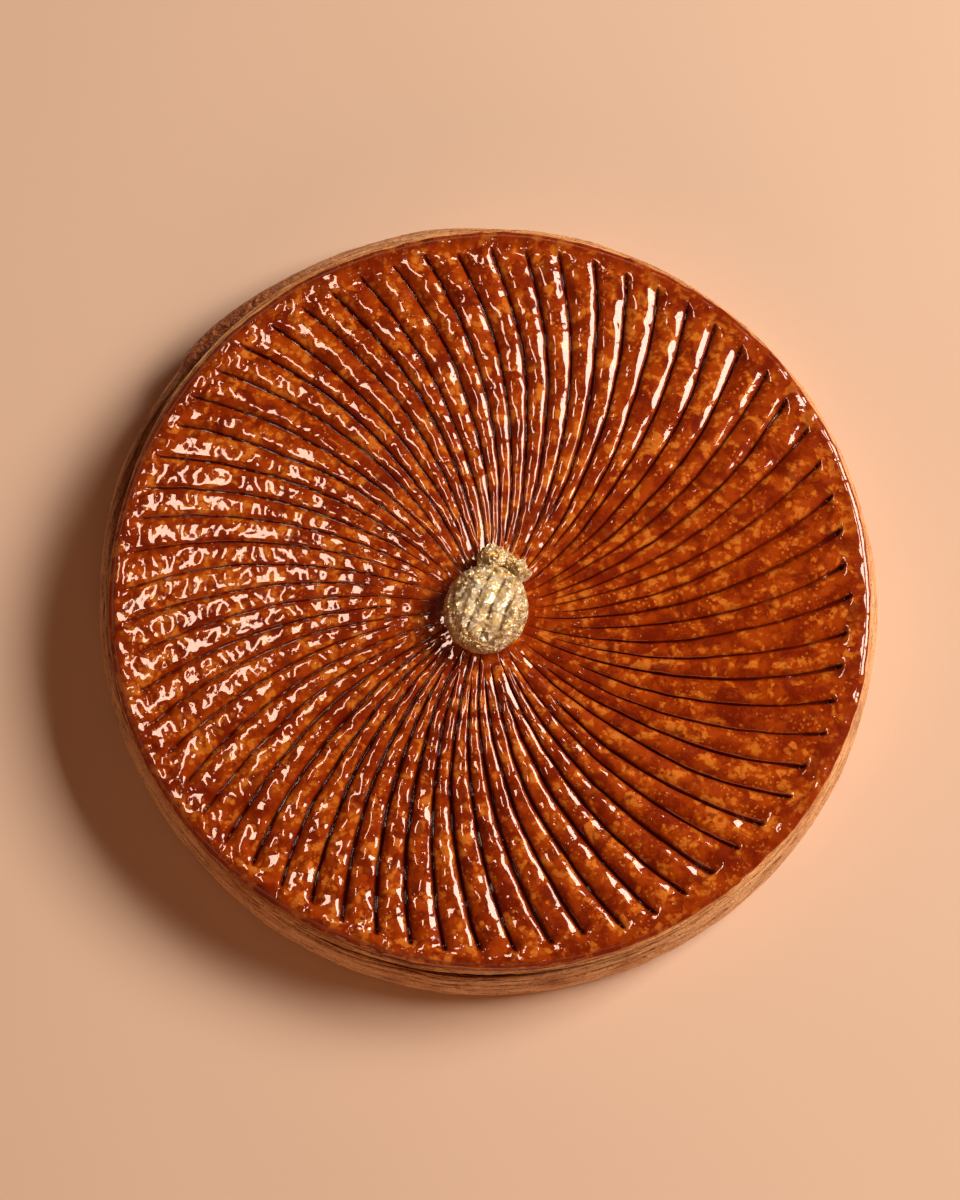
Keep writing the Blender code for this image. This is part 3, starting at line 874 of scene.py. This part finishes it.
def make_nut_leaf(gold):
    around = np.linspace(0.0, TURN, 341)[None, :]
    down = np.linspace(0.0002, 1.0, 125)[:, None]
    points, crumpled, hollow_shade = nut_surface(down, around, 0.0, True)
    points[:, -1] = points[:, 0]
    turned = around + NUT_TURN
    torn = 0.86 + 0.06 * rough(np.cos(turned) * 4, np.sin(turned) * 4, 0.0, 66, 4)
    torn = torn - 0.13 * bump(turned, math.radians(268), 0.8)
    facts = {"crumpled": crumpled, "hollow_shade": hollow_shade}
    sheet = foil("nut_leaf", points, down < torn, facts, gold, 0.10 * MM)
    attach(sheet, "root")
    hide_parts("gilded_nut")
    return sheet


# ---------------------------------------------------------------- loose leaf

TUFT_FROM = math.radians(36)
TUFT_TO = math.radians(101)
TUFT_RADIUS = 16.2 * MM                 # from the nut's middle to the roll's
TUFT_HALF_WIDTH = 4.2 * MM
TUFT_HALF_HEIGHT = 4.4 * MM
TUFT_MIDDLE = 4.6 * MM

# Size, height and seed of its creases
TUFT_CREASES = ((2.0 * MM, 1.5 * MM, 72), (0.95 * MM, 0.8 * MM, 73), (0.5 * MM, 0.3 * MM, 76))


def make_leaf_tuft(gold):
    """A scrunched roll of loose leaf that stands along the nut's back right side."""
    around = np.linspace(0.0, TURN, 130, endpoint=False)[None, :]
    along = np.linspace(0.0, 1.0, 190)[1:-1, None]
    side = TUFT_FROM + along * (TUFT_TO - TUFT_FROM)
    full = (1.0 - np.abs(2.0 * along - 1.0) ** 3.2) ** 0.5
    full = full * (0.80 + 0.20 * np.sin(along * 9.0 + 0.8))
    out = TUFT_HALF_WIDTH * full * np.cos(around)
    up = TUFT_HALF_HEIGHT * full * np.sin(around)
    radius = TUFT_RADIUS + 1.5 * MM * np.sin(along * math.pi) + out
    x, y = radius * np.cos(side), radius * np.sin(side)
    z = TUFT_MIDDLE + up
    fold = 1.5 * MM * noise(x / (3.6 * MM), y / (3.6 * MM), z / (3.6 * MM), 71)
    for size, height, seed in TUFT_CREASES:
        fold = fold + height * (creased(x / size, y / size, z / size, seed) - 0.65)
    fold = fold * np.minimum(1.0, full * 1.5)
    x = x + fold * np.cos(around) * np.cos(side)
    y = y + fold * np.cos(around) * np.sin(side)
    z = np.maximum(z + fold * np.sin(around), 0.1 * MM)
    rings = np.stack([SCORE_X + x, SCORE_Y + y, CENTRE_HEIGHT + 0.7 * MM + z], axis=-1)
    facts = {"crumpled": np.ones(rings.shape[:2]), "hollow_shade": np.zeros(rings.shape[:2])}
    piece = closed_rings("leaf_tuft", rings[:, ::-1], gold, facts)
    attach(piece, "root")
    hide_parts("gold_leaf_tuft")
    return piece


# ---------------------------------------------------------------- stage, light and camera

FLOOR_HALF = 4.0
ROOM_STRENGTH = 0.085
LIGHTS_AIM = (0.0, 0.0, 0.02)
LENS = 107.35                           # millimetres, on a sensor 36 wide
SENSOR = 36.0
CAMERA_TARGET = Vector((-2.73 * MM, 2.14 * MM, 8.0 * MM))
CAMERA_AZIMUTH = -90
CAMERA_ELEVATION = 78
CAMERA_DISTANCE = 1.2


def aim(item, target):
    item.rotation_euler = (Vector(target) - item.location).to_track_quat("-Z", "Y").to_euler()


def direction(azimuth, elevation):
    a, e = math.radians(azimuth), math.radians(elevation)
    return Vector((math.cos(e) * math.cos(a), math.cos(e) * math.sin(a), math.sin(e)))


def add_light(name, azimuth, elevation, distance, width, height, power, colour, turn=0.0):
    data = bpy.data.lights.new(name, "AREA")
    data.shape = "RECTANGLE"
    data.size = width
    data.size_y = height
    data.energy = power
    data.color = colour
    lamp = bpy.data.objects.new(name, data)
    bpy.context.scene.collection.objects.link(lamp)
    lamp.location = direction(azimuth, elevation) * distance
    aim(lamp, LIGHTS_AIM)
    lamp.rotation_euler.rotate_axis("Z", math.radians(turn))
    return lamp


def make_stage():
    mesh = bpy.data.meshes.new("floor")
    half = FLOOR_HALF
    corners = [(-half, -half, BASE), (half, -half, BASE), (half, half, BASE), (-half, half, BASE)]
    mesh.from_pydata(corners, [], [(0, 1, 2, 3)])
    mesh.materials.append(floor_material())
    floor = bpy.data.objects.new("floor", mesh)
    bpy.context.scene.collection.objects.link(floor)
    world = bpy.data.worlds.new("studio")
    world.use_nodes = True
    background = world.node_tree.nodes["Background"]
    background.inputs["Color"].default_value = (*ROOM_COLOUR, 1.0)
    background.inputs["Strength"].default_value = ROOM_STRENGTH
    bpy.context.scene.world = world


def make_lights():
    add_light("key", azimuth=21, elevation=41, distance=2.2,
              width=1.215, height=0.857, power=59.0, colour=KEY_COLOUR)
    add_light("fill", azimuth=-97, elevation=25, distance=1.6,
              width=1.0, height=0.5, power=3.6, colour=FILL_COLOUR)
    # A small lamp for the white glints on the glaze's left, which leaves the key's shadow alone
    glints = add_light("glints", azimuth=136, elevation=72.5, distance=1.2,
                       width=0.15, height=0.42, power=3.5, colour=GLINTS_COLOUR, turn=-46.0)
    glints.visible_diffuse = False


def make_camera():
    data = bpy.data.cameras.new("camera")
    data.lens = LENS
    data.sensor_width = SENSOR
    data.clip_end = 50.0
    camera = bpy.data.objects.new("camera", data)
    bpy.context.scene.collection.objects.link(camera)
    outwards = direction(CAMERA_AZIMUTH, CAMERA_ELEVATION)
    camera.location = CAMERA_TARGET + outwards * CAMERA_DISTANCE
    aim(camera, CAMERA_TARGET)
    bpy.context.scene.camera = camera


bpy.context.scene.view_settings.view_transform = "Standard"
make_stage()
make_lights()
make_camera()
make_glazed_top(glaze_material())
make_upper_layers(layer_material("upper_pastry", UPPER_CREST, UPPER_BODY, UPPER_GAP_SHADE))
make_lower_layers(layer_material("lower_pastry", LOWER_CREST, LOWER_BODY, LOWER_GAP_SHADE))
gold = gold_material()
make_nut(nut_material())
make_nut_leaf(gold)
make_leaf_tuft(gold)
